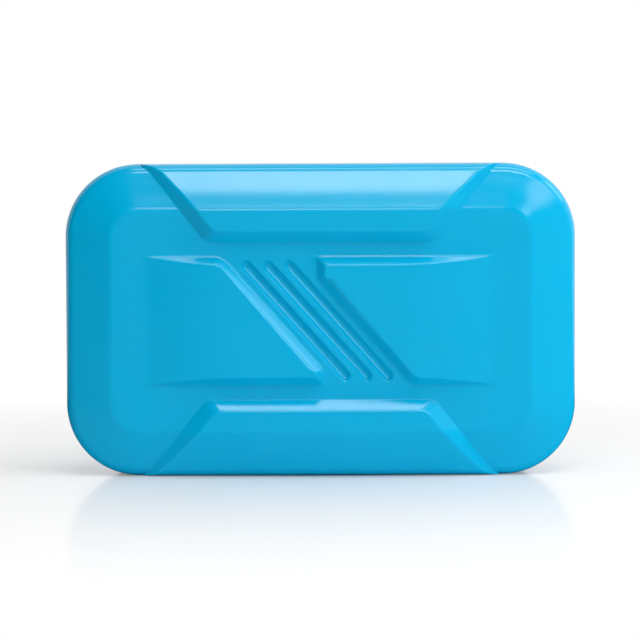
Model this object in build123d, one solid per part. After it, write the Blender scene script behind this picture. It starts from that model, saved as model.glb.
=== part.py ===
from build123d import *
from math import cos, radians, sqrt, tan
import os

# Reusable hard-shell ice pack, blow-moulded in one piece and standing on a long edge.
# Millimetres. X runs along the pack, the patterned front faces -Y, and Z is up.
# The origin is the middle of the bottom of the pack's box.

# Whole pack
width = 165.0
height = 101.0
thickness = 36.0
corner_radius = 23.5

# Shoulder that slopes from the flat front and back out to the side band
shoulder_inset = 14.7
shoulder_depth = 5.5
crease_radius = 7.0
edge_radius = 4.7

# Raised trapezoid pads along the top and bottom of the front
pad_rise = 3.4
pad_reach = 25.1
pad_foot_width = 73.6
pad_lean = 38.7
pad_draft = 45.0
pad_side_draft = 52.0
pad_step = 2.0
pad_corner_radius = 4.0
pad_crease_radius = 4.0
pad_rim_radius = 1.2
pad_bite = 0.03

# Raised wings on both sides of the diagonal channel
wing_rise = 2.6
wing_flat = 50.0
wing_gap = 4.7
wing_span = 110.6
wing_draft = 45.0
wing_corner_radius = 5.0
wing_tip_radius = 1.0
wing_rim_radius = 0.8
wing_root = 2.0
left_tip_land = 1.4
right_tip_land = 3.6

# Diagonal channel between the wings, and its grooves
channel_width = 17.8
channel_lean = 41.7
channel_shift = -1.0
groove_count = 3
groove_margin = 1.9
groove_land = 1.45
groove_depth = 1.3
groove_tip = 2.8
groove_stop = 4.7

# Parting line of the mould halves, and the welded fill closure on the left end
parting_width = 0.5
parting_depth = 0.25
closure_diameter = 10.6
closure_recess = 0.8
closure_gap = 0.9
closure_rise = 0.6

# Levels that the sizes above give
back_y = thickness / 2
pad_y = -thickness / 2
front_y = pad_y + pad_rise
parting_y = (front_y + back_y) / 2
half_core = (back_y - front_y) / 2
mid_z = height / 2
corner_x = width / 2 - corner_radius
corner_z = height - corner_radius
crease_z = height - shoulder_inset
pad_foot_z = height - pad_reach
half_wing = pad_foot_z - wing_gap - mid_z

# Grooves spread over the channel, with their ends clear of the channel's ends
groove_lands = (groove_count - 1) * groove_land
groove_width = (channel_width - 2 * groove_margin - groove_lands) / groove_count
groove_pitch = groove_width + groove_land
groove_run = 2 * (half_wing / cos(radians(channel_lean)) - groove_stop)
groove_radius = (groove_width**2 / 4 + groove_depth**2) / (2 * groove_depth)


def outline(y, inset):
    """Rounded outline of the pack at a depth y, drawn in by an inset all round."""
    plane = Plane(origin=(0, y, mid_z), x_dir=(1, 0, 0), z_dir=(0, -1, 0))
    return plane * RectangleRounded(width - 2 * inset, height - 2 * inset, corner_radius - inset)


def side_section():
    """Section from a corner's centre line outwards: creases, sloping shoulders and rounded edges."""
    crease_reach = corner_radius - shoulder_inset
    points = [
        (0, front_y),
        (crease_reach, front_y),
        (corner_radius, front_y + shoulder_depth),
        (corner_radius, back_y - shoulder_depth),
        (crease_reach, back_y),
        (0, back_y),
    ]
    section = Polygon(*points, align=None)
    levels = section.vertices().group_by(Axis.X)
    section = fillet(levels[1], crease_radius)
    return fillet(section.vertices().group_by(Axis.X)[-1], edge_radius)


def core():
    """Plain body, from a quarter that holds one turned corner and two straight sides."""
    section = side_section()
    upright = Plane(origin=(corner_x, 0, corner_z), x_dir=(1, 0, 0), z_dir=(0, 0, 1))
    level = Plane(origin=(corner_x, 0, corner_z), x_dir=(0, 0, 1), z_dir=(-1, 0, 0))
    quarter = revolve(upright * section, Axis((corner_x, 0, corner_z), (0, -1, 0)), 90)
    quarter += extrude(upright * section, mid_z - corner_z)
    quarter += extrude(level * section, corner_x)
    middle = Box(corner_x, back_y - front_y, corner_z - mid_z, align=(Align.MIN, Align.MIN, Align.MIN))
    quarter += Pos(0, front_y, mid_z) * middle
    half = quarter + mirror(quarter, Plane.YZ)
    return half + mirror(half, Plane(origin=(0, 0, mid_z), z_dir=(0, 0, 1)))


def wall_plane(a, b, c, inner):
    """Plane through three points, facing away from an inner point."""
    normal = (Vector(b) - Vector(a)).cross(Vector(c) - Vector(a))
    if normal.dot(Vector(inner) - Vector(a)) > 0:
        normal = -normal
    return Plane(origin=a, z_dir=normal)


def drafted_plane(a, b, draft, inner):
    """Wall that leans inwards by its draft, from a foot line on the front between (x, z) points."""
    along = Vector(b[0] - a[0], 0, b[1] - a[1]).normalized()
    inwards = along.cross(Vector(0, 1, 0))
    if inwards.dot(Vector(inner) - Vector(a[0], 0, a[1])) < 0:
        inwards = -inwards
    raised = Vector(a[0], front_y - 1, a[1]) + inwards * tan(radians(draft))
    return wall_plane((a[0], front_y, a[1]), (b[0], front_y, b[1]), raised, inner)


def edge_at(block, x, y, z):
    """Edge that passes through a point."""
    return block.edges().sort_by_distance((x, y, z))[0]


def rim_edges(block, is_top):
    """Edges between the top faces of a raised block and the walls that fall away from them."""
    front_faces = block.faces().filter_by(lambda face: face.normal_at().Y < -0.1)
    tops = front_faces.filter_by(is_top)
    walls = front_faces.filter_by(lambda face: not is_top(face))
    return tops.edges() & walls.edges()


def pad():
    """Upper pad: a flat, a steeper shoulder with its own rounded edge at the rim, and drafted walls."""
    rim_y = front_y + shoulder_depth - pad_step
    rim_z = height - pad_bite
    foot_x = pad_foot_width / 2
    section = Polygon(
        (pad_y, mid_z),
        (parting_y, mid_z),
        (parting_y, rim_z),
        (rim_y, rim_z),
        (pad_y, crease_z),
        align=None,
    )
    block = extrude(Plane.YZ * section, width / 2, both=True)
    block = fillet(edge_at(block, 0, rim_y, rim_z), edge_radius)

    inner = (0, parting_y, crease_z)
    lean = tan(radians(pad_lean))
    crease_x = foot_x + (crease_z - pad_foot_z) * lean
    rim_x = foot_x + (height - pad_foot_z) * lean
    top_x = crease_x - pad_rise * tan(radians(pad_side_draft)) / cos(radians(pad_lean))
    walls = [drafted_plane((-foot_x, pad_foot_z), (foot_x, pad_foot_z), pad_draft, inner)]
    for side in (-1, 1):
        foot = (side * foot_x, pad_foot_z)
        crease_foot = (side * crease_x, front_y, crease_z)
        crease_top = (side * top_x, pad_y, crease_z)
        rim_foot = (side * rim_x, front_y + shoulder_depth, height)
        walls.append(drafted_plane(foot, (side * crease_x, crease_z), pad_side_draft, inner))
        walls.append(wall_plane(crease_foot, crease_top, rim_foot, inner))
    for wall in walls:
        block = split(block, bisect_by=wall, keep=Keep.BOTTOM)

    corners = [edge_at(block, side * foot_x, front_y, pad_foot_z) for side in (-1, 1)]
    block = fillet(corners, pad_corner_radius)
    bends = [edge_at(block, side * crease_x, front_y, crease_z) for side in (-1, 1)]
    block = fillet(bends, crease_radius)
    block = fillet(edge_at(block, 0, pad_y, crease_z), pad_crease_radius)
    rim = rim_edges(block, lambda face: abs(face.normal_at().X) < 0.2 and face.normal_at().Z > -0.2)
    block = fillet(rim, pad_rim_radius)
    return block & extrude(outline(parting_y, pad_bite), half_core + pad_rise)


def wing(side, tip_land):
    """One wing: drafted walls under a flat roof that curves down into the front at its outer end."""
    roof_y = front_y - wing_rise
    bend_x = side * wing_flat / 2
    bend_run = (wing_span - wing_flat) / 2
    bend_radius = (bend_run**2 + wing_rise**2) / (2 * wing_rise)
    far_x = bend_x + side * sqrt(bend_radius**2 - (bend_radius - wing_rise - wing_root) ** 2)
    far = (far_x, front_y + wing_root)
    roof = Line((-bend_x, roof_y), (bend_x, roof_y)) + TangentArc((bend_x, roof_y), far, tangent=(side, 0))
    root = Polyline(far, (-bend_x, front_y + wing_root), (-bend_x, roof_y))
    block = Pos(0, 0, mid_z) * extrude(make_face(roof + root), height / 2, both=True)

    lean = tan(radians(channel_lean))
    channel_x = channel_shift + side * channel_width / 2 / cos(radians(channel_lean))
    wall_run = wing_rise * tan(radians(wing_draft))
    tip_height = tip_land + wall_run * (1 + tan(radians(channel_lean / 2)))
    kink_rise = side * (half_wing - tip_height)
    tip_x = channel_x - kink_rise * lean
    corners = [
        (far_x, mid_z - side * half_wing),
        (channel_x + side * half_wing * lean, mid_z - side * half_wing),
        (tip_x, mid_z + kink_rise),
        (tip_x, mid_z + side * half_wing),
        (far_x, mid_z + side * half_wing),
    ]
    inner = (side * wing_span / 4, front_y, mid_z)
    for start, end in zip(corners, corners[1:] + corners[:1]):
        block = split(block, bisect_by=drafted_plane(start, end, wing_draft, inner), keep=Keep.BOTTOM)

    for (x, z), radius in zip(corners[1:4], (wing_corner_radius, wing_tip_radius, wing_tip_radius)):
        block = fillet(edge_at(block, x, front_y, z), radius)
    rim = rim_edges(block, lambda face: face.normal_at().Y < -0.95)
    return fillet(rim.filter_by(lambda edge: abs(edge.center().X) < wing_span / 2), wing_rim_radius)


def grooves():
    """Diagonal grooves with sloping ends, side by side in the floor of the channel."""
    tool = Pos(0, groove_depth - groove_radius, 0) * Cylinder(groove_radius, groove_run + 2 * groove_tip)
    for end in (-1, 1):
        end_z = end * (groove_run / 2 + groove_tip)
        slope = Plane(origin=(0, 0, end_z), z_dir=(0, groove_tip, end * groove_depth))
        tool = split(tool, bisect_by=slope, keep=Keep.BOTTOM)
    pitch_x = groove_pitch / cos(radians(channel_lean))
    places = [channel_shift + (i - (groove_count - 1) / 2) * pitch_x for i in range(groove_count)]
    return [Pos(x, front_y, mid_z) * Rot(0, -channel_lean, 0) * tool for x in places]


def parting_line():
    """Shallow groove all round the side band, where the two halves of the mould met."""
    start_y = parting_y + parting_width / 2
    return extrude(outline(start_y, 0) - outline(start_y, parting_depth), parting_width)


def closure_seat():
    """Round recess in the left end for the fill closure."""
    seat = Cylinder(closure_diameter / 2, 2 * closure_recess)
    return Pos(-width / 2, parting_y, mid_z) * Rot(0, 90, 0) * seat


def closure_disc():
    """Welded disc that fills the recess up to just under the side band."""
    disc = extrude(Circle(closure_diameter / 2 - closure_gap), closure_rise)
    return Pos(-width / 2 + closure_recess, parting_y, mid_z) * Rot(0, -90, 0) * disc


def shell():
    """Whole pack: the core with its raised pads and wings, its grooves, parting line and closure."""
    body = core()
    upper = pad()
    lower = mirror(upper, Plane(origin=(0, 0, mid_z), z_dir=(0, 0, 1)))
    body += [upper, lower, wing(-1, left_tip_land), wing(1, right_tip_land)]
    body -= [*grooves(), parting_line(), closure_seat()]
    body += closure_disc()
    return body


pack = shell()
print(f"{pack.volume / 1000:.1f} cubic centimetres in {len(pack.solids())} solid, valid {pack.is_valid}")
os.makedirs("parts", exist_ok=True)
export_step(pack, "parts/shell.step")
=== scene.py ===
import bpy
import numpy as np
from math import atan, cos, pi, radians, sin, tan
from mathutils import Matrix, Vector

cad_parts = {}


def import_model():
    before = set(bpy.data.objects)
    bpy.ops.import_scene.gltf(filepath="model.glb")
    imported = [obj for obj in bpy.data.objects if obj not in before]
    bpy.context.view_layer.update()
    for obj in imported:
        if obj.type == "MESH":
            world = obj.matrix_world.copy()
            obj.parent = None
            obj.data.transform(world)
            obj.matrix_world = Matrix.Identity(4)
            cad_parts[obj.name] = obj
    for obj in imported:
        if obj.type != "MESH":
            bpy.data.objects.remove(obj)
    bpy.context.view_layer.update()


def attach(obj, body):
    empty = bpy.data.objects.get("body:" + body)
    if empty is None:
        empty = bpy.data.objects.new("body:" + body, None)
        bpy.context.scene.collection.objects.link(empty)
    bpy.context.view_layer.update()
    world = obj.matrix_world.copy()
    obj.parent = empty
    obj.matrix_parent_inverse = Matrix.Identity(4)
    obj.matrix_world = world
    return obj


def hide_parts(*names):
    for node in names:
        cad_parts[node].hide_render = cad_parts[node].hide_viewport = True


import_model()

# Sizes of the pack in millimetres, the same as in the model
width, height, thickness = 165.0, 101.0, 36.0
corner_radius = 23.5
shoulder_inset, shoulder_depth = 14.7, 5.5
crease_radius, edge_radius = 7.0, 4.7
pad_rise, pad_reach, pad_foot_width = 3.4, 25.1, 73.6
pad_lean, pad_draft, pad_side_draft = radians(38.7), radians(45), radians(52)
pad_step = 2.0
pad_corner_radius, pad_crease_radius, pad_rim_radius = 4.0, 4.0, 1.2
pad_bite = 0.03
wing_rise, wing_flat, wing_gap, wing_span = 2.6, 50.0, 4.7, 110.6
wing_draft = radians(45)
wing_corner_radius, wing_tip_radius, wing_rim_radius = 5.0, 1.0, 0.8
tip_lands = {-1: 1.4, 1: 3.6}
channel_width, channel_shift = 17.8, -1.0
channel_lean = radians(41.7)
groove_count, groove_margin, groove_land = 3, 1.9, 1.45
groove_depth, groove_tip, groove_stop = 1.3, 2.8, 4.7
parting_width, parting_depth = 0.5, 0.25
closure_diameter, closure_recess, closure_gap, closure_rise = 10.6, 0.8, 0.9, 0.6

# Blends, swells and run-outs of this skin alone, in millimetres
foot_blend, wing_blend, trim_blend, groove_floor_blend = 0.12, 0.5, 0.8, 0.9
core_bulge, pad_bulge, pad_bulge_start = 0.1, 0.16, 0.5
trim_x, trim_pull = 57.2, 3.0
wing_run_out, wing_run_out_pull, wing_bend_share = 4.0, 2.0, 0.9
groove_rim_radius, groove_tip_share = 0.3, 0.7
groove_wall = radians(50)

# A millimetre in metres
millimetre = 0.001

# Levels and places that the sizes give
back_y = thickness / 2
pad_y = -thickness / 2
front_y = pad_y + pad_rise
parting_y = (front_y + back_y) / 2
mid_z = height / 2
crease_rise = mid_z - shoulder_inset
pad_foot_rise = mid_z - pad_reach
core_x = width / 2 - corner_radius
core_rise = mid_z - corner_radius
slope = atan(shoulder_depth / shoulder_inset)
edge_run = edge_radius * tan((pi / 2 - slope) / 2)
band_y = front_y + shoulder_depth + edge_run
half_wing = pad_foot_rise - wing_gap
wing_wall_run = wing_rise * tan(wing_draft)
wing_bend_run = (wing_span - wing_flat) / 2
wing_bend_radius = (wing_bend_run**2 + wing_rise**2) / (2 * wing_rise)
half_channel = channel_width / 2 / cos(channel_lean)
groove_lands = (groove_count - 1) * groove_land
groove_width = (channel_width - 2 * groove_margin - groove_lands) / groove_count
groove_pitch = groove_width + groove_land
groove_run = 2 * (half_wing / cos(channel_lean) - groove_stop)
groove_end = groove_run / 2 + (groove_tip - groove_width / 2) * groove_tip_share
rim_y = front_y + shoulder_depth - pad_step
pad_slope = atan((rim_y - pad_y) / shoulder_inset)
rim_rise = mid_z - pad_bite
foot_x = pad_foot_width / 2
crease_x = foot_x + (crease_rise - pad_foot_rise) * tan(pad_lean)
rim_x = foot_x + (mid_z - pad_foot_rise) * tan(pad_lean)
side_wall = pad_rise * tan(pad_side_draft) / cos(pad_lean)
pull_x = pad_rise / side_wall
pull_z = (shoulder_depth - pull_x * (rim_x - crease_x)) / shoulder_inset


def soft_max(a, b, size):
    """Larger of two surfaces, blended where they are within a size of each other."""
    near = np.maximum(size - np.abs(a - b), 0) / size
    return np.maximum(a, b) + near**2 * size / 4


def soft_min(a, b, size):
    """Smaller of two surfaces, blended where they are within a size of each other."""
    return -soft_max(-a, -b, size)


def section_blend(radius, low, high):
    """Blend size that stands for a fillet between two slopes, given as angles."""
    return 4 * radius * (1 / cos((high - low) / 2) - 1) / cos((high + low) / 2)


def plan_blend(radius, inside_angle):
    """Blend size that stands for a fillet between two walls of one draft."""
    return 4 * radius * (1 - sin(inside_angle / 2))


def swell(place, start, end):
    """Gentle swelling from 0 at the start and end of a range to 1 in its middle."""
    part = np.clip((place - start) / (end - start), 0, 1)
    return 16 * part**2 * (1 - part) ** 2


def inset_at(x, rise):
    """Distance in from the outline, where rise is the height over the middle."""
    over_x = np.abs(x) - core_x
    over_z = np.abs(rise) - core_rise
    corner = np.hypot(np.maximum(over_x, 0), np.maximum(over_z, 0))
    side = np.maximum(over_x, over_z)
    return corner_radius - np.where(np.minimum(over_x, over_z) > 0, corner, side)


def core_face(inset):
    """Front of the plain body at an inset: flat, soft crease, slope and rounded edge."""
    flat_start = shoulder_inset + crease_radius * tan(slope / 2)
    slope_start = flat_start - crease_radius * sin(slope)
    edge_end = edge_radius * (1 - sin(slope))
    reach = np.clip(flat_start - inset, 0, crease_radius * sin(slope))
    crease = front_y + crease_radius - np.sqrt(crease_radius**2 - reach**2)
    bulge = core_bulge * swell(inset, edge_end, slope_start)
    line = front_y + (shoulder_inset - inset) * tan(slope) - bulge
    turn = np.clip(edge_radius - inset, 0, edge_radius)
    edge = band_y - np.sqrt(np.maximum(edge_radius**2 - turn**2, 0))
    return np.where(inset > slope_start, crease, np.where(inset > edge_end, line, edge))


def pad_roof(rise):
    """Depth of the pads' flat, sloping shoulder and rounded edge."""
    slant = pad_y + (rise - crease_rise) * tan(pad_slope)
    roof = soft_max(pad_y, slant, section_blend(pad_crease_radius, 0, pad_slope))
    slant_end = rim_rise - edge_radius * (1 - sin(pad_slope))
    roof = roof - pad_bulge * swell(rise, crease_rise + pad_bulge_start, slant_end)
    over = np.clip(rise - (rim_rise - edge_radius), 0, edge_radius)
    edge = rim_y + edge_radius * tan((pi / 2 - pad_slope) / 2) - np.sqrt(edge_radius**2 - over**2)
    return np.where(over > edge_radius * sin(pad_slope), edge, roof)


def pad_side_x(depth, rise):
    """Place across the front where the pads' upper side wall has a depth."""
    wall_x = crease_x + (depth - front_y - pull_z * (rise - crease_rise)) / pull_x
    return np.minimum(wall_x, trim_x + (depth - front_y - shoulder_depth) / trim_pull)


def pad_face(x, rise):
    """Front of the two pads, which mirror each other across the middle."""
    x = np.abs(x)
    rise = np.abs(rise)
    below = front_y - (rise - pad_foot_rise) / tan(pad_draft)
    inside = (foot_x + (rise - pad_foot_rise) * tan(pad_lean) - x) * cos(pad_lean)
    side_low = front_y - inside / tan(pad_side_draft)
    side_high = front_y + pull_x * (x - crease_x) + pull_z * (rise - crease_rise)
    side = soft_max(side_low, side_high, section_blend(crease_radius, 0, slope))
    side = soft_max(side, front_y + shoulder_depth + (x - trim_x) * trim_pull, trim_blend)
    wall = soft_max(side, below, plan_blend(pad_corner_radius, pi / 2 + pad_lean))
    return soft_max(pad_roof(rise), wall, section_blend(pad_rim_radius, 0, pi / 2 - pad_draft))


def wing_height(out, bend_end):
    """Height of a wing's roof over the flat front, where its bend stops at bend_end."""
    past = np.clip(out - wing_flat / 2, 0, bend_end)
    return wing_rise - wing_bend_radius + np.sqrt(wing_bend_radius**2 - past**2)


def wing_places(side):
    """Places outwards of a wing's slanted wall at half height, and of its tip."""
    wall_out = side * channel_shift + half_channel
    tip_height = tip_lands[side] + wing_wall_run * (1 + tan(channel_lean / 2))
    return wall_out, wall_out - (half_wing - tip_height) * tan(channel_lean)


def wing_face(x, rise, side):
    """Front of one wing: drafted walls under a roof that bends down at its outer end."""
    out = side * x
    up = side * rise
    roof = front_y - wing_height(out, wing_bend_share * wing_bend_radius)
    roof = roof + wing_run_out_pull * np.maximum(out - wing_span / 2 - wing_run_out, 0)

    wall_out, tip_out = wing_places(side)
    slanted = (out - wall_out + up * tan(channel_lean)) * cos(channel_lean)
    inside = soft_min(slanted, out - tip_out, plan_blend(wing_tip_radius, pi - channel_lean))
    inside = soft_min(inside, half_wing - up, plan_blend(wing_tip_radius, pi / 2))
    inside = soft_min(inside, half_wing + up, plan_blend(wing_corner_radius, pi / 2 + channel_lean))
    wall = front_y - inside / tan(wing_draft)
    return soft_max(roof, wall, section_blend(wing_rim_radius, 0, pi / 2 - wing_draft))


def groove_face(x, rise, index):
    """Bottom of one groove, a round channel with rounded ends."""
    over = x - channel_shift
    across = over * cos(channel_lean) + rise * sin(channel_lean) - index * groove_pitch
    along = rise * cos(channel_lean) - over * sin(channel_lean)
    along = along + index * groove_pitch * tan(channel_lean)
    off = np.hypot(across, np.maximum(np.abs(along) - groove_end, 0))
    wall = front_y + (groove_width / 2 - off) * tan(groove_wall)
    return soft_min(wall, front_y + groove_depth, groove_floor_blend)


def face(x, rise):
    """Depth of the patterned front at a point, with every form on it."""
    depth = core_face(inset_at(x, rise))
    depth = soft_min(depth, pad_face(x, rise), foot_blend)
    for side in (-1, 1):
        depth = soft_min(depth, wing_face(x, rise, side), wing_blend)
    rim = section_blend(groove_rim_radius, 0, groove_wall)
    for index in range(groove_count):
        depth = soft_max(depth, groove_face(x, rise, index - (groove_count - 1) / 2), rim)
    return depth


def face_normals(x, rise):
    """Normals of the front, from its depth a small step to each side."""
    step = 0.01
    lean_x = (face(x + step, rise) - face(x - step, rise)) / (2 * step)
    lean_z = (face(x, rise + step) - face(x, rise - step)) / (2 * step)
    return np.stack([lean_x, -np.ones_like(x), lean_z], axis=-1)


def spread(marks, counts):
    """Values that run through the marks, with a count of even steps between each two."""
    parts = [np.linspace(a, b, count, endpoint=False) for a, b, count in zip(marks, marks[1:], counts)]
    return np.concatenate(parts + [np.array([marks[-1]])])


# Guide columns and rows keep these gaps in millimetres from the edges that they run beside
pad_foot_gap, pad_head_gap, groove_gap = 0.4, 0.5, 0.35
channel_side_gap, wing_side_gap, wing_head_gap = 0.4, 0.3, 0.6
wing_head_back, wing_tip_back = 0.8, 0.7
feet_margin, heads_margin = 1.1, 1.2
wing_roof_gap, wing_edge_gap, pad_edge_gap = 0.5, 0.2, 0.3

# Places across, in millimetres, where they cross the wings' edges or wait above and below the wings
pad_foot_park, pad_head_park = 42.0, 38.6
left_head_park, left_foot_park = -30, -26
right_foot_park, right_head_park = 14, 20
first_groove_park, groove_park_step = -16, 11
park_spread = 1.4
shoulder_points, channel_points = 40, 41


def pad_lines():
    """Rises over the pads' shoulder, and the places of its side wall's foot and head at each."""
    insets = shoulder_inset * (1 - np.sin(np.linspace(0, pi / 2, shoulder_points))) + pad_bite
    rises = mid_z - insets
    feet = np.minimum(pad_side_x(core_face(insets), rises), core_x - feet_margin)
    heads = np.minimum(pad_side_x(pad_roof(rises), rises), feet - heads_margin)
    return rises, feet, heads


def column_lines():
    """Guide lines from bottom to top, each a list of (rise, x), that follow walls and grooves."""
    shoulder_rises, feet, heads = pad_lines()

    def pad_line(side, shoulder, wall, park, shift):
        """Line across a wing's end and up a pad's side wall, and the same below the middle."""
        low = [(half_wing, park + shift), (pad_foot_rise, foot_x - wall + shift)]
        upper = low + list(zip(shoulder_rises, shoulder + shift))
        return [(-rise, side * x) for rise, x in upper[::-1]] + [(rise, side * x) for rise, x in upper]

    def channel_line(x, park, low=-np.inf, high=np.inf):
        """Line that leans with the channel between the wings' upper and lower walls."""
        rises = np.linspace(-half_wing, half_wing, channel_points)
        inner = [(r, float(np.clip(channel_shift + x - r * tan(channel_lean), low, high))) for r in rises]
        below = [(-mid_z, park * park_spread), (-pad_foot_rise, park)]
        return below + inner + [(pad_foot_rise, park), (mid_z, park * park_spread)]

    def pad_pairs(side):
        """Two lines beside the foot of the pads' side wall, and two beside its head."""
        feet_pair = [pad_line(side, feet, 0, pad_foot_park, s) for s in (pad_foot_gap, -pad_foot_gap)]
        heads_pair = [
            pad_line(side, heads, side_wall, pad_head_park, s) for s in (pad_head_gap, -pad_head_gap)
        ]
        return feet_pair + heads_pair

    left_tip, right_tip = [side * wing_places(side)[1] for side in (-1, 1)]
    roof_run = wing_wall_run / cos(channel_lean)
    head_x = half_channel + roof_run - wing_head_back
    tip_shift = roof_run - wing_tip_back
    half_groove = groove_width / 2 / cos(channel_lean)
    pitch = groove_pitch / cos(channel_lean)

    lines = [[(0, -core_x)]] + pad_pairs(-1)
    for s in (-wing_head_gap, wing_head_gap):
        lines.append(channel_line(-head_x + s, left_head_park + s, high=left_tip - tip_shift + s))
    for s in (-wing_side_gap, channel_side_gap):
        lines.append(channel_line(-half_channel + s, left_foot_park + s, high=left_tip + s))
    for index in range(groove_count):
        centre = (index - (groove_count - 1) / 2) * pitch
        park = first_groove_park + groove_park_step * index
        outer, inner = half_groove + groove_gap, half_groove - groove_gap
        lines += [channel_line(centre + s, park + s) for s in (-outer, -inner, 0, inner, outer)]
    for s in (-channel_side_gap, wing_side_gap):
        lines.append(channel_line(half_channel + s, right_foot_park + s, low=right_tip + s))
    for s in (-wing_head_gap, wing_head_gap):
        lines.append(channel_line(head_x + s, right_head_park + s, low=right_tip + tip_shift + s))
    return lines + pad_pairs(1)[::-1] + [[(0, core_x)]]


guide_columns = [tuple(zip(*line)) for line in column_lines()]

# Columns between each two guides, the same from both ends in to the channel, and rows in the same way
end_columns = [9, 3, 5, 4, 14, 4, 5, 3, 2]
groove_columns = ([3, 5, 5, 3, 3] * groove_count)[:-1]
column_counts = end_columns + groove_columns + end_columns[::-1]
end_rows, middle_rows = [2, 3, 4, 3, 6, 5], 40
row_counts = end_rows + [middle_rows] + end_rows[::-1]


def row_guides(x):
    """Rises of the guide rows at a place across the front, from bottom to top."""
    wall = wing_height(np.abs(x), wing_bend_run) * tan(wing_draft)
    upper = [
        half_wing - np.maximum(wall + wing_roof_gap, 2 * wing_roof_gap),
        half_wing - np.maximum(wall - wing_roof_gap, wing_roof_gap),
        np.full_like(x, half_wing - wing_edge_gap),
        np.full_like(x, half_wing + wing_edge_gap),
        np.full_like(x, pad_foot_rise - pad_edge_gap),
        np.full_like(x, pad_foot_rise + pad_edge_gap),
        np.full_like(x, core_rise),
    ]
    return [-guide for guide in upper[::-1]] + upper


def between(guides, counts):
    """Every line, guides included, spread evenly between the guides."""
    lines = []
    for low, high, count in zip(guides, guides[1:], counts):
        lines += [low + (high - low) * step / count for step in range(count)]
    return np.stack(lines + [guides[-1]])


def column_places(rise):
    """Places across the front of every column at the given rises."""
    return between([np.interp(rise, rises, places) for rises, places in guide_columns], column_counts)


class Skin:
    """Points, normals and faces of one closed skin, in millimetres."""

    def __init__(self):
        self.points, self.normals, self.faces = [], [], []

    def add(self, points, normals):
        """Adds points with their normals, and gives their numbers."""
        start = sum(len(block) for block in self.points)
        self.points.append(np.asarray(points, float).reshape(-1, 3))
        self.normals.append(np.asarray(normals, float).reshape(-1, 3))
        return start + np.arange(len(self.points[-1]))

    def add_front(self, x, rise):
        """Adds points on the patterned front, and gives their numbers."""
        return self.add(np.stack([x, face(x, rise), rise + mid_z], axis=-1), face_normals(x, rise))

    def bridge(self, line, after, steps):
        """Adds faces between two lines of points, one at each step from a place to its neighbour."""
        for place, beside in steps:
            corners = (line[place], line[beside], after[beside], after[place])
            unique = tuple(dict.fromkeys(int(corner) for corner in corners))
            if len(unique) > 2:
                self.faces.append(unique)

    def piece(self, name):
        """Smooth Blender object of the skin, in metres."""
        mesh = bpy.data.meshes.new(name)
        points = np.concatenate(self.points) * millimetre
        normals = np.concatenate(self.normals)
        normals /= np.linalg.norm(normals, axis=1)[:, None]
        mesh.from_pydata(points.tolist(), [], self.faces)
        mesh.shade_smooth()
        mesh.normals_split_custom_set_from_vertices(normals.tolist())
        thing = bpy.data.objects.new(name, mesh)
        bpy.context.scene.collection.objects.link(thing)
        return thing


def neighbours(count, closed):
    """Steps from each of a line's places to the next, and back to the first where it is closed."""
    return [(place, (place + 1) % count) for place in range(count if closed else count - 1)]


def front_block(skin):
    """Grid over the middle of the front, up to the centres of the outline's corners."""
    settle_turns = 6
    rows = sum(row_counts) + 1
    columns = sum(column_counts) + 1
    rise = np.repeat(np.linspace(-core_rise, core_rise, rows)[:, None], columns, axis=1)
    for _ in range(settle_turns):
        # Each column and each row is worked out at its own points alone
        x = np.einsum("crc->rc", column_places(rise))
        rise = np.einsum("rrc->rc", between(row_guides(x), row_counts))
    grid = skin.add_front(x, rise).reshape(rows, columns)
    for row, after in zip(grid, grid[1:]):
        skin.bridge(row, after, neighbours(columns, closed=False))
    return grid, rise


# Turns round a corner of the outline in degrees, in fine steps at first and then in even ones
fine_turn, fine_step, turn_steps = 8, 0.5, 30
fine_turns = np.arange(fine_step, fine_turn, fine_step)
corner_angles = np.radians(np.concatenate([fine_turns, np.linspace(fine_turn, 90, turn_steps)[:-1]]))
fan = len(corner_angles)


def rim_anchors(grid):
    """Block points all round the block, clockwise from the front, with one for each corner step."""
    return np.concatenate([
        grid[-1, :], np.repeat(grid[-1, -1], fan), grid[::-1, -1], np.repeat(grid[0, -1], fan),
        grid[0, ::-1], np.repeat(grid[0, 0], fan), grid[:, 0], np.repeat(grid[-1, 0], fan),
    ])


def rim_directions(rows, columns):
    """Outward direction in the plane of the front at each place round the rim."""
    turn = np.stack([np.sin(corner_angles), np.cos(corner_angles)], axis=-1)
    back = turn[::-1]
    return np.concatenate([
        np.tile((0, 1), (columns, 1)), turn, np.tile((1, 0), (rows, 1)), back * (1, -1),
        np.tile((0, -1), (columns, 1)), turn * (-1, -1), np.tile((-1, 0), (rows, 1)), back * (-1, 1),
    ]).astype(float)


def rim_places(inset, side_rises, directions):
    """Place across and rise at one inset all round the rim."""
    reach = corner_radius - inset
    edge_rise = core_rise + reach
    top = column_places(np.array([edge_rise]))[:, 0]
    bottom = column_places(np.array([-edge_rise]))[:, 0]
    rows, columns = len(side_rises), len(top)
    starts = np.cumsum([0, columns, fan, rows, fan, columns, fan, rows])
    x = directions[:, 0] * reach + np.sign(directions[:, 0]) * core_x
    rise = directions[:, 1] * reach + np.sign(directions[:, 1]) * core_rise
    x[starts[0]:starts[1]] = top
    rise[starts[2]:starts[3]] = side_rises[::-1]
    x[starts[4]:starts[5]] = bottom[::-1]
    rise[starts[6]:starts[7]] = side_rises
    return x, rise


# Insets of the rings round the front, from the block over the crease and shoulder to the edge
edge_inset, edge_steps = 1.6, 12
inset_marks = [corner_radius, 22.3, 21.2, 17.2, 12.3, 3.4, edge_inset]
inset_counts = [3, 5, 6, 12, 12, 5]
edge_start, edge_stop = np.arccos(1 - np.array([edge_inset, pad_bite]) / edge_radius)
edge_turns = np.linspace(edge_start, edge_stop, edge_steps)[1:]
edge_insets = edge_radius * (1 - np.cos(edge_turns))
front_insets = np.concatenate([spread(inset_marks, inset_counts)[1:], edge_insets])

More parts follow.
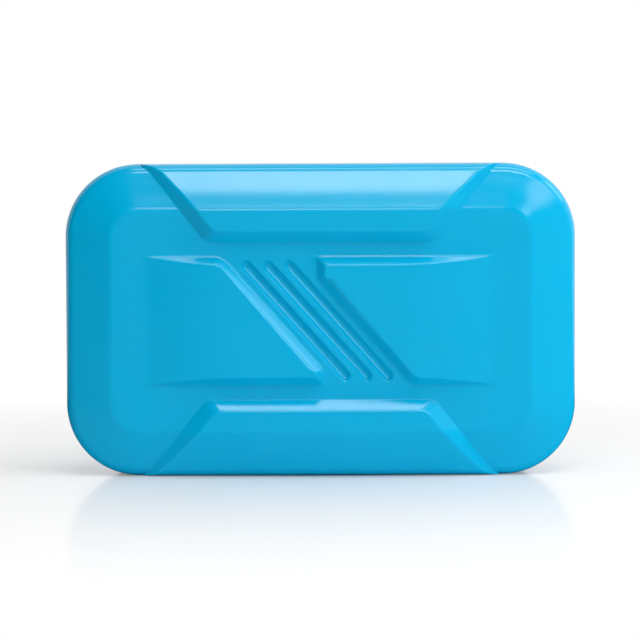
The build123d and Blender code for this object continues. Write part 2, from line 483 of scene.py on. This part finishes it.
# Opening in the band of the left end, half its size, which the closure's patch fills
patch_reach, patch_margin = 6.4, 0.7
tolerance = 0.01


def side_profile():
    """Band with its parting line, back edge and plain back: inset, depth and normal of each ring."""
    line_reach = 0.8 * parting_width
    line_steps, edge_turn_steps, crease_steps = 11, 11, 9
    beside_line = (0.9, 2.0, 4.0, patch_reach)
    before_line = [-part for part in beside_line[::-1]]
    rings = [(0, band_y, 1, 0)]
    for part in (*before_line, *np.linspace(-line_reach, line_reach, line_steps), *beside_line):
        wave = pi * min(abs(part) / line_reach, 1)
        depth = parting_depth / 2 * (1 + cos(wave))
        lean = -np.sign(part) * parting_depth / 2 * sin(wave) * pi / line_reach
        rings.append((depth, parting_y + part, 1, float(lean)))
    edge_y = 2 * parting_y - band_y
    for turn in np.linspace(0, pi / 2 - slope, edge_turn_steps):
        inset = edge_radius * (1 - cos(turn))
        rings.append((inset, edge_y + edge_radius * sin(turn), cos(turn), sin(turn)))
    crease_y = back_y - crease_radius
    crease_inset = shoulder_inset + crease_radius * tan(slope / 2)
    for turn in np.linspace(slope, 0, crease_steps):
        inset = crease_inset - crease_radius * sin(turn)
        rings.append((inset, crease_y + crease_radius * cos(turn), sin(turn), cos(turn)))
    return rings


def closure_profile():
    """Radius and depth from the recess's edge in to the disc, with every edge rounded."""
    outer = closure_diameter / 2
    inner = outer - closure_gap
    floor_depth = closure_recess
    top = closure_recess - closure_rise
    soft, half_soft, lip, margin, land, crown = 0.12, 0.04, 0.03, 0.3, 0.6, 0.03
    return [
        (outer + margin, 0), (outer + soft, 0), (outer + lip, half_soft), (outer, soft),
        (outer, floor_depth - soft), (outer - half_soft, floor_depth - half_soft),
        (outer - soft, floor_depth), (inner + soft, floor_depth),
        (inner + half_soft, floor_depth - half_soft), (inner, floor_depth - soft),
        (inner, top + soft), (inner - half_soft, top + half_soft), (inner - soft, top),
        (inner - land, top), (inner / 2, top + crown), (0, top + crown),
    ]


def closure_patch(skin, loop, points):
    """Welded fill closure in the band of the left end, a low disc in a round recess."""
    *profile, (_, centre_depth) = closure_profile()
    angles = np.arctan2(points[:, 2] - mid_z, points[:, 1] - parting_y)
    rings = [loop]
    for index, (radius, depth) in enumerate(profile):
        before = profile[max(index - 1, 0)]
        after = profile[min(index + 1, len(profile) - 1)]
        run, fall = before[0] - after[0], after[1] - before[1]
        y = parting_y + radius * np.cos(angles)
        z = mid_z + radius * np.sin(angles)
        x = np.full_like(y, depth - width / 2)
        normals = [np.full_like(y, -run), -fall * np.cos(angles), -fall * np.sin(angles)]
        rings.append(skin.add(np.stack([x, y, z], axis=-1), np.stack(normals, axis=-1)))
    all_round = neighbours(len(loop), closed=True)
    for outer_ring, inner_ring in zip(rings, rings[1:]):
        skin.bridge(outer_ring, inner_ring, all_round)
    centre = skin.add([(centre_depth - width / 2, parting_y, mid_z)], [(-1, 0, 0)])
    skin.bridge(rings[-1], np.repeat(centre, len(loop)), all_round)


def body_skin():
    """Whole pack as one skin: front block, shoulders, rounded edges, band, back and closure."""
    skin = Skin()
    grid, rise = front_block(skin)
    side_rises = rise[:, 0]
    out = rim_directions(*grid.shape)
    rings = [rim_anchors(grid)]
    for inset in front_insets:
        rings.append(skin.add_front(*rim_places(inset, side_rises, out)))
    edge_places = {}
    for inset, depth, normal_out, normal_y in side_profile():
        x, level = rim_places(inset, side_rises, out)
        points = np.stack([x, np.full_like(x, depth), level + mid_z], axis=-1)
        normals = [out[:, 0] * normal_out, np.full_like(x, normal_y), out[:, 1] * normal_out]
        edge_places[len(rings)] = points
        rings.append(skin.add(points, np.stack(normals, axis=-1)))

    low_ring, high_ring = [number for number, points in edge_places.items()
                           if abs(abs(points[0, 1] - parting_y) - patch_reach) < tolerance]
    flat_x, flat_rise = rim_places(0, side_rises, out)
    at_left = (flat_x < tolerance - width / 2) & (np.abs(flat_rise) < patch_reach + patch_margin)
    first, *_, last = np.flatnonzero(at_left).tolist()
    all_round = neighbours(len(out), closed=True)
    round_patch = [step for step in all_round if not first <= step[0] < last]
    for level, (ring, after) in enumerate(zip(rings, rings[1:])):
        skin.bridge(ring, after, round_patch if low_ring <= level < high_ring else all_round)
    loop = [(low_ring, slot) for slot in range(first, last + 1)]
    loop += [(ring, last) for ring in range(low_ring + 1, high_ring + 1)]
    loop += [(high_ring, slot) for slot in range(last - 1, first - 1, -1)]
    loop += [(ring, first) for ring in range(high_ring - 1, low_ring, -1)]
    points = np.array([edge_places[ring][slot] for ring, slot in loop])
    closure_patch(skin, np.array([rings[ring][slot] for ring, slot in loop]), points)
    skin.faces.append(tuple(rings[-1].tolist()))
    return skin


pack = body_skin().piece("pack_skin")
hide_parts("shell")
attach(pack, "root")


def new_material(name):
    """Material with an empty node tree."""
    material = bpy.data.materials.new(name)
    material.use_nodes = True
    tree = material.node_tree
    tree.nodes.clear()
    return material, tree.nodes, tree.links


def show(nodes, links, surface):
    """Surface as the material's output."""
    links.new(surface, nodes.new("ShaderNodeOutputMaterial").inputs["Surface"])


def math_node(nodes, links, operation, *values):
    """Result of an operation such as MULTIPLY on two values, each a number or a socket."""
    node = nodes.new("ShaderNodeMath")
    node.operation = operation
    for socket, value in zip(node.inputs, values):
        if isinstance(value, (int, float)):
            socket.default_value = value
        else:
            links.new(value, socket)
    return node.outputs[0]


def mix_shaders(nodes, links, share, first, second):
    """Mix of two shaders, with a share of the second."""
    mix = nodes.new("ShaderNodeMixShader")
    links.new(share, mix.inputs["Fac"])
    links.new(first, mix.inputs[1])
    links.new(second, mix.inputs[2])
    return mix.outputs[0]


def noise_node(nodes, links, place, scale, detail, roughness):
    """Noise at a place in metres."""
    noise = nodes.new("ShaderNodeTexNoise")
    noise.inputs["Scale"].default_value = scale
    noise.inputs["Detail"].default_value = detail
    noise.inputs["Roughness"].default_value = roughness
    links.new(place, noise.inputs["Vector"])
    return noise.outputs["Fac"]


def range_node(nodes, links, value, given, wanted):
    """Value carried over from a given range to a wanted one."""
    node = nodes.new("ShaderNodeMapRange")
    for name, number in zip(("From Min", "From Max", "To Min", "To Max"), (*given, *wanted)):
        node.inputs[name].default_value = number
    links.new(value, node.inputs["Value"])
    return node.outputs["Result"]


def bump_node(nodes, links, values, strength, distance):
    """Bump of some values, with a strength and a distance in metres."""
    bump = nodes.new("ShaderNodeBump")
    bump.inputs["Strength"].default_value = strength
    bump.inputs["Distance"].default_value = distance
    links.new(values, bump.inputs["Height"])
    return bump


def plastic():
    """Water-blue blow-moulded polyethylene: satin, faintly uneven, with fine mould texture."""
    material, nodes, links = new_material("pack_plastic")
    shader = nodes.new("ShaderNodeBsdfPrincipled")
    show(nodes, links, shader.outputs["BSDF"])
    place = nodes.new("ShaderNodeTexCoord").outputs["Object"]

    darker_blue, lighter_blue = (0.0, 0.372, 0.64, 1), (0.0, 0.392, 0.665, 1)
    first_colour, second_colour, mixed_colour = 6, 7, 2
    mottle = noise_node(nodes, links, place, scale=55, detail=3, roughness=0.55)
    tone = nodes.new("ShaderNodeMix")
    tone.data_type = "RGBA"
    tone.inputs[first_colour].default_value = darker_blue
    tone.inputs[second_colour].default_value = lighter_blue
    links.new(mottle, tone.inputs["Factor"])
    links.new(tone.outputs[mixed_colour], shader.inputs["Base Color"])

    patches = noise_node(nodes, links, place, scale=90, detail=4, roughness=0.6)
    satin = range_node(nodes, links, patches, given=(0.3, 0.7), wanted=(0.15, 0.19))
    links.new(satin, shader.inputs["Roughness"])
    shader.inputs["Specular IOR Level"].default_value = 0.5

    waves = noise_node(nodes, links, place, scale=28, detail=1, roughness=0.4)
    grain = noise_node(nodes, links, place, scale=1400, detail=3, roughness=0.6)
    wave_bump = bump_node(nodes, links, waves, strength=0.2, distance=0.0003)
    grain_bump = bump_node(nodes, links, grain, strength=0.06, distance=0.0001)
    links.new(wave_bump.outputs["Normal"], grain_bump.inputs["Normal"])
    links.new(grain_bump.outputs["Normal"], shader.inputs["Normal"])
    return material


pack.data.materials.append(plastic())


def shown_to_camera(nodes, links):
    """1 for camera, glossy and transmission rays, and 0 for the rest."""
    path = nodes.new("ShaderNodeLightPath")
    total = path.outputs["Is Camera Ray"]
    for name in ("Is Glossy Ray", "Is Transmission Ray"):
        total = math_node(nodes, links, "MAXIMUM", total, path.outputs[name])
    return total


def floor():
    """Plain white floor: it takes the shadow and a fading reflection, and is plain white farther off.

    Reflections on the pack see the dark card under it instead, as they see the other cards.
    """
    white, gloss_roughness, sheen_share = (1, 1, 1, 1), 0.12, 0.55
    plain_from, sheen_reach = 0.31, 0.314
    floor_size, floor_middle = (12, 8, 1), (0, 3.2, 0)
    bpy.ops.mesh.primitive_plane_add(size=1)
    plane = bpy.context.object
    plane.name = "floor"
    plane.scale = floor_size
    plane.location = floor_middle
    material, nodes, links = new_material("floor_white")
    place = nodes.new("ShaderNodeNewGeometry").outputs["Position"]
    parts = nodes.new("ShaderNodeSeparateXYZ")
    links.new(place, parts.inputs[0])
    length = nodes.new("ShaderNodeVectorMath")
    length.operation = "LENGTH"
    links.new(place, length.inputs[0])
    far = range_node(nodes, links, length.outputs["Value"], given=(0, plain_from), wanted=(0, 1))
    ahead = math_node(nodes, links, "MULTIPLY", parts.outputs["Y"], -1)
    fade = range_node(nodes, links, ahead, given=(0, sheen_reach), wanted=(sheen_share, 0))
    grazing = nodes.new("ShaderNodeLayerWeight").outputs["Facing"]
    sheen = math_node(nodes, links, "MULTIPLY", fade, grazing)
    camera_ray = nodes.new("ShaderNodeLightPath").outputs["Is Camera Ray"]

    matt = nodes.new("ShaderNodeBsdfDiffuse")
    matt.inputs["Color"].default_value = white
    gloss = nodes.new("ShaderNodeBsdfGlossy")
    gloss.inputs["Roughness"].default_value = gloss_roughness
    plain = nodes.new("ShaderNodeEmission")
    sheen_seen = math_node(nodes, links, "MULTIPLY", sheen, camera_ray)
    far_seen = math_node(nodes, links, "MULTIPLY", far, shown_to_camera(nodes, links))
    surface = mix_shaders(nodes, links, sheen_seen, matt.outputs[0], gloss.outputs[0])
    show(nodes, links, mix_shaders(nodes, links, far_seen, surface, plain.outputs[0]))
    plane.data.materials.append(material)
    plane.visible_glossy = False


def world():
    """White to the camera and in reflections, and a dim even fill for everything else."""
    white, fill_tone, fill_strength = (1, 1, 1, 1), (0.92, 0.97, 1.0, 1), 0.04
    sky = bpy.data.worlds.new("studio")
    bpy.context.scene.world = sky
    sky.use_nodes = True
    nodes, links = sky.node_tree.nodes, sky.node_tree.links
    nodes.clear()
    back = nodes.new("ShaderNodeBackground")
    back.inputs["Color"].default_value = white
    fill = nodes.new("ShaderNodeBackground")
    fill.inputs["Color"].default_value = fill_tone
    fill.inputs["Strength"].default_value = fill_strength
    surface = mix_shaders(nodes, links, shown_to_camera(nodes, links), fill.outputs[0], back.outputs[0])
    links.new(surface, nodes.new("ShaderNodeOutputWorld").inputs["Surface"])


def dark_card(name, corners):
    """Black studio card that only reflections see, so that the plastic keeps its depth of colour."""
    black = (0.01, 0.01, 0.01, 1)
    mesh = bpy.data.meshes.new(name)
    mesh.from_pydata(corners, [], [(0, 1, 2, 3)])
    card = bpy.data.objects.new(name, mesh)
    bpy.context.scene.collection.objects.link(card)
    material, nodes, links = new_material(name)
    matt = nodes.new("ShaderNodeBsdfDiffuse")
    matt.inputs["Color"].default_value = black
    show(nodes, links, matt.outputs[0])
    mesh.materials.append(material)
    card.visible_camera = False
    card.visible_diffuse = False
    card.visible_transmission = False
    card.visible_shadow = False


def cards():
    """Five cards: in front of the pack, at both sides, just under the floor and above."""
    left, right, near, back = -2.0, 2.0, -2.2, 0.3
    deep, under, tall = -1.0, -0.001, 2.2
    low_corners = [(left, near, deep), (right, near, deep)]
    high_corners = [(right, near, tall), (left, near, tall)]
    dark_card("card_front", low_corners + high_corners)
    for name, x in (("card_left", left), ("card_right", right)):
        dark_card(name, [(x, near, deep), (x, back, deep), (x, back, tall), (x, near, tall)])
    for name, z in (("card_floor", under), ("card_top", tall)):
        dark_card(name, [(left, near, z), (right, near, z), (right, back, z), (left, back, z)])


def lamp(name, place, aim, size, watts, in_gloss=True, in_matt=True):
    """Oblong lamp that may be kept out of the gloss, or out of the plain light."""
    light = bpy.data.lights.new(name, "AREA")
    light.shape = "RECTANGLE"
    light.size, light.size_y = size
    light.energy = watts
    thing = bpy.data.objects.new(name, light)
    thing.location = place
    thing.rotation_euler = (Vector(aim) - Vector(place)).to_track_quat("-Z", "Y").to_euler()
    thing.visible_camera = False
    thing.visible_glossy = in_gloss
    thing.visible_diffuse = in_matt
    bpy.context.scene.collection.objects.link(thing)


def lamps():
    """Soft studio lamps, with places and sizes in metres."""
    centre = (0, 0, 0.05)
    lamp("fill", (0.8, -1.8, 0.27), centre, size=(2.6, 0.5), watts=11.3, in_gloss=False)
    lamp("overhead_front", (0.15, -0.555, 0.8), (0.15, -0.555, 0), size=(0.6, 0.185), watts=2.85)
    lamp("overhead_middle", (0.15, -0.3, 0.8), (0.15, -0.3, 0), size=(0.6, 0.3), watts=2.1, in_gloss=False)
    lamp("overhead_back", (0.15, -0.09, 0.8), (0.15, -0.09, 0), size=(0.6, 0.1), watts=1.15)
    lamp("right_side", (0.66, -0.05, 0.36), centre, size=(0.3, 0.65), watts=2.3, in_gloss=False)
    lamp("right_gleam", (0.54, -0.03, 0.47), centre, size=(0.24, 0.24), watts=0.6, in_matt=False)
    lamp("front_right", (0.62, -0.67, 0.64), centre, size=(0.36, 0.36), watts=1.3)
    lamp("front_left", (-0.03, -1.02, 0.66), centre, size=(0.24, 0.2), watts=0.8)
    lamp("back", (0, 1.4, 0.25), centre, size=(1.6, 0.46), watts=13.0, in_gloss=False)


def camera():
    """Camera straight on, a little above, with the slight tilt of the photograph."""
    lens, sensor_width, distance = 172.05, 36, 1.0
    elevation, azimuth, roll = radians(3.4), radians(0.3), radians(0.25)
    aim_x, aim_drop = -0.2, 0.68
    target = Vector((aim_x, parting_y, mid_z - aim_drop)) * millimetre
    data = bpy.data.cameras.new("camera")
    data.lens = lens
    data.sensor_width = sensor_width
    thing = bpy.data.objects.new("camera", data)
    away = Vector((sin(azimuth) * cos(elevation), -cos(azimuth) * cos(elevation), sin(elevation)))
    thing.location = target + away * distance
    turn = (-away).to_track_quat("-Z", "Y").to_matrix().to_4x4()
    thing.matrix_world = Matrix.Translation(thing.location) @ turn @ Matrix.Rotation(-roll, 4, "Z")
    bpy.context.scene.collection.objects.link(thing)
    bpy.context.scene.camera = thing


floor()
world()
cards()
lamps()
camera()
bpy.context.scene.view_settings.view_transform = "Standard"
